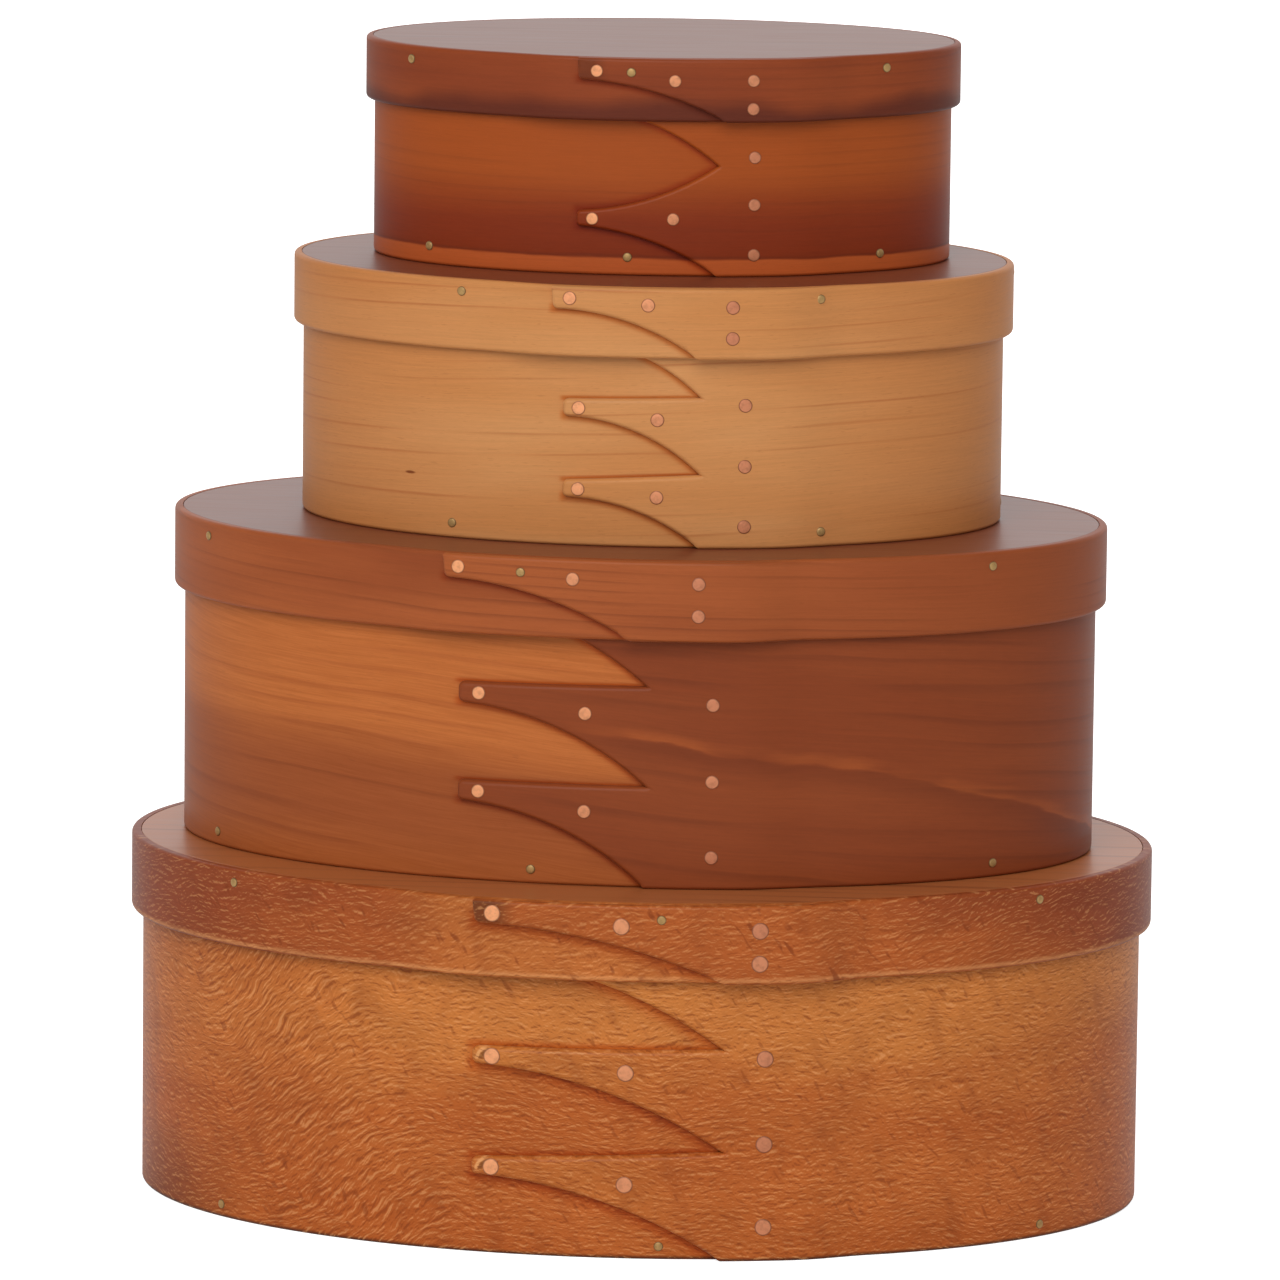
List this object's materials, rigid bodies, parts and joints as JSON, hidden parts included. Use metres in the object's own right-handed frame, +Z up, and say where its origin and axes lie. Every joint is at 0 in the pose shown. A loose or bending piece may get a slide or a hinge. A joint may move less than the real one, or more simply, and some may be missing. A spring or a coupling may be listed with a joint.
{
  "type": "shaker oval box",
  "caption": "Stack of lidded oval bentwood boxes, large to small, with swallowtail fingers, copper tacks and brass pins; each lid and box lifts off.",
  "frame": {"origin": "centre of the oval underside of the bottom box", "axes": "+Z up, +X along the bottom box's length, -Y the front, where the fingers are"},
  "size_m": [0.2588, 0.1898, 0.2922],
  "materials": {
    "figured_wood": "satin oiled, flecked",
    "dark_cherry": "satin oiled",
    "maple": "satin oiled",
    "streaked_cherry": "satin oiled",
    "light_cherry_board": "satin oiled",
    "cherry_board": "satin oiled",
    "copper": "hammered flat copper",
    "brass": "dull brass"
  },
  "bodies": {
    "box4": {"box4_side_band": "figured_wood", "box4_base_board": "light_cherry_board", "box4_side_tacks": "copper", "box4_base_pins": "brass"},
    "box4_lid": {"box4_lid_band": "figured_wood", "box4_lid_board": "light_cherry_board", "box4_lid_tacks": "copper", "box4_lid_pins": "brass"},
    "box3": {"box3_side_band": "dark_cherry", "box3_base_board": "cherry_board", "box3_side_tacks": "copper", "box3_base_pins": "brass"},
    "box3_lid": {"box3_lid_band": "dark_cherry", "box3_lid_board": "cherry_board", "box3_lid_tacks": "copper", "box3_lid_pins": "brass"},
    "box2": {"box2_side_band": "maple", "box2_base_board": "cherry_board", "box2_side_tacks": "copper", "box2_base_pins": "brass"},
    "box2_lid": {"box2_lid_band": "maple", "box2_lid_board": "cherry_board", "box2_lid_tacks": "copper", "box2_lid_pins": "brass"},
    "box1": {"box1_side_band": "streaked_cherry", "box1_base_board": "cherry_board", "box1_side_tacks": "copper", "box1_base_pins": "brass"},
    "box1_lid": {"box1_lid_band": "streaked_cherry", "box1_lid_board": "cherry_board", "box1_lid_tacks": "copper", "box1_lid_pins": "brass"}
  },
  "joints": [
    {"name": "box4_lid_lifts_off", "type": "slide", "parent": "box4", "child": "box4_lid", "axis": [0, 0, 1], "range_m": [0, 0.06]},
    {"name": "box3_lifts_off", "type": "slide", "parent": "box4_lid", "child": "box3", "axis": [0, 0, 1], "range_m": [0, 0.03]},
    {"name": "box3_lid_lifts_off", "type": "slide", "parent": "box3", "child": "box3_lid", "axis": [0, 0, 1], "range_m": [0, 0.06]},
    {"name": "box2_lifts_off", "type": "slide", "parent": "box3_lid", "child": "box2", "axis": [0, 0, 1], "range_m": [0, 0.03]},
    {"name": "box2_lid_lifts_off", "type": "slide", "parent": "box2", "child": "box2_lid", "axis": [0, 0, 1], "range_m": [0, 0.05]},
    {"name": "box1_lifts_off", "type": "slide", "parent": "box2_lid", "child": "box1", "axis": [0, 0, 1], "range_m": [0, 0.03]},
    {"name": "box1_lid_lifts_off", "type": "slide", "parent": "box1", "child": "box1_lid", "axis": [0, 0, 1], "range_m": [0, 0.05]}
  ]
}
